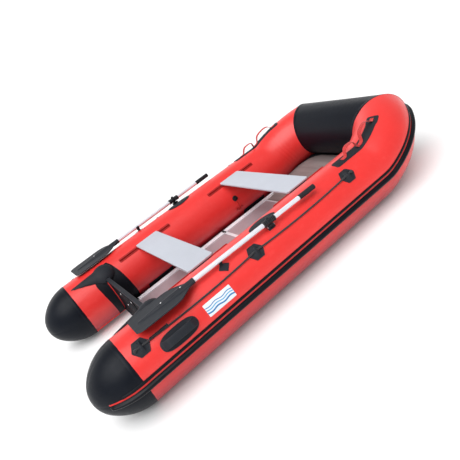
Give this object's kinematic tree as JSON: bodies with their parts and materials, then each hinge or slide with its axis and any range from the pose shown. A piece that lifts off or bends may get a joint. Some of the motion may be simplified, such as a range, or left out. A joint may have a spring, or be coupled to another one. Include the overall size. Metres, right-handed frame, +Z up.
{
  "type": "inflatable dinghy",
  "caption": "Two-seat inflatable dinghy: horseshoe buoyancy tube, aluminium floor, transom, two sliding thwarts and a pair of oars in swivelling rowlocks.",
  "frame": {"origin": "centre of the plan outline on the ground under the tubes", "axes": "+X towards the bow, +Y to port, +Z up"},
  "size_m": [2.9412, 1.6622, 0.5586],
  "materials": {
    "red_fabric": "satin coated fabric",
    "black_fabric": "satin coated fabric",
    "inner_fabric": "matt",
    "strake_rubber": "satin moulded rubber",
    "patch_rubber": "matt, fine grain",
    "red_webbing": "woven webbing",
    "seat_rail_fabric": "satin coated fabric",
    "black_rope": "braided",
    "rope_sleeve": "satin",
    "transom_ply": "black painted plywood",
    "bow_ply": "grey-brown coated plywood",
    "pad_plastic": "ribbed",
    "floor_aluminium": "ribbed, anodised",
    "profile_aluminium": "anodised",
    "seat_aluminium": "pale, satin",
    "clip_plastic": "matt",
    "valve_plastic": "satin",
    "label_film": "printed film, plain blue waves, no lettering",
    "steel": "stainless",
    "lock_plastic": "satin",
    "oar_aluminium": "bright anodised",
    "blade_plastic": "satin moulded",
    "grip_rubber": "matt"
  },
  "bodies": {
    "hull": {"bottom_skin": "black_fabric", "bow_board": "bow_ply", "bow_tube": "black_fabric", "carry_handles": "patch_rubber", "chafe_pads": "patch_rubber", "chamber_diaphragms": "inner_fabric", "floor_joiners": "profile_aluminium", "floor_panel_aft": "floor_aluminium", "floor_panel_fore": "floor_aluminium", "floor_panel_mid": "floor_aluminium", "floor_stringers": "profile_aluminium", "grab_loops": "red_webbing", "grab_strips": "patch_rubber", "inner_motor_pad": "pad_plastic", "keel_tube": "inner_fabric", "lifeline_patches": "patch_rubber", "lifeline_sleeves": "rope_sleeve", "oar_keepers": "patch_rubber", "outer_motor_pad": "pad_plastic", "port_lifeline": "black_rope", "port_side_tube": "red_fabric", "port_stern_cone": "black_fabric", "port_transom_horn": "patch_rubber", "rowlock_bases": "patch_rubber", "rowlock_pins": "steel", "rub_rails": "strake_rubber", "rub_strips": "strake_rubber", "seat_rails": "seat_rail_fabric", "side_label": "label_film", "starboard_lifeline": "black_rope", "starboard_side_tube": "red_fabric", "starboard_stern_cone": "black_fabric", "starboard_transom_horn": "patch_rubber", "tow_ring_patches": "patch_rubber", "transom_board": "transom_ply", "transom_flanges": "black_fabric", "valve_bodies": "valve_plastic"},
    "front_seat": {"front_seat": "seat_aluminium", "front_seat_clips": "clip_plastic"},
    "rear_seat": {"rear_seat": "seat_aluminium", "rear_seat_clips": "clip_plastic"},
    "port_rowlock": {"port_rowlock_swivel": "lock_plastic", "port_rowlock_nut": "lock_plastic"},
    "starboard_rowlock": {"starboard_rowlock_swivel": "lock_plastic", "starboard_rowlock_nut": "lock_plastic"},
    "port_oar": {"port_oar_shaft": "oar_aluminium", "port_oar_collar": "lock_plastic", "port_oar_grip": "grip_rubber", "port_oar_blade": "blade_plastic", "port_oar_rivets": "steel"},
    "starboard_oar": {"starboard_oar_shaft": "oar_aluminium", "starboard_oar_collar": "lock_plastic", "starboard_oar_grip": "grip_rubber", "starboard_oar_blade": "blade_plastic", "starboard_oar_rivets": "steel"},
    "port_valve_cap": {"port_valve_cap": "valve_plastic"},
    "starboard_valve_cap": {"starboard_valve_cap": "valve_plastic"},
    "port_tow_ring": {"port_tow_ring": "steel"},
    "starboard_tow_ring": {"starboard_tow_ring": "steel"}
  },
  "joints": [
    {"name": "front_seat_slide", "type": "slide", "parent": "hull", "child": "front_seat", "axis": [1, 0, 0], "range_m": [-0.155, 0.165]},
    {"name": "rear_seat_slide", "type": "slide", "parent": "hull", "child": "rear_seat", "axis": [1, 0, 0], "range_m": [-0.18, 0.13]},
    {"name": "port_rowlock_dip", "type": "hinge", "parent": "hull", "child": "port_rowlock", "pos_m": [-0.09357, 0.68839, 0.42082], "axis": [-1, 0, 0], "range_deg": [0, 25]},
    {"name": "port_oar_swing", "type": "hinge", "parent": "port_rowlock", "child": "port_oar", "pos_m": [-0.09357, 0.68839, 0.42082], "axis": [0, 0, -1], "range_deg": [0, 100]},
    {"name": "starboard_rowlock_dip", "type": "hinge", "parent": "hull", "child": "starboard_rowlock", "pos_m": [-0.09357, -0.68839, 0.42082], "axis": [1, 0, 0], "range_deg": [0, 25]},
    {"name": "starboard_oar_swing", "type": "hinge", "parent": "starboard_rowlock", "child": "starboard_oar", "pos_m": [-0.09357, -0.68839, 0.42082], "axis": [0, 0, 1], "range_deg": [0, 100]},
    {"name": "port_valve_cap_turn", "type": "hinge", "parent": "hull", "child": "port_valve_cap", "pos_m": [0.26643, 0.37695, 0.25602], "axis": [0, -0.9816, 0.1908], "range_deg": [0, 90]},
    {"name": "starboard_valve_cap_turn", "type": "hinge", "parent": "hull", "child": "starboard_valve_cap", "pos_m": [0.26643, -0.37695, 0.25602], "axis": [0, 0.9816, 0.1908], "range_deg": [-90, 0]},
    {"name": "port_tow_ring_swing", "type": "hinge", "parent": "hull", "child": "port_tow_ring", "pos_m": [1.41323, 0.285, 0.19847], "axis": [0, 1, 0], "range_deg": [-110, 35]},
    {"name": "starboard_tow_ring_swing", "type": "hinge", "parent": "hull", "child": "starboard_tow_ring", "pos_m": [1.41323, -0.285, 0.19847], "axis": [0, 1, 0], "range_deg": [-110, 35]}
  ]
}
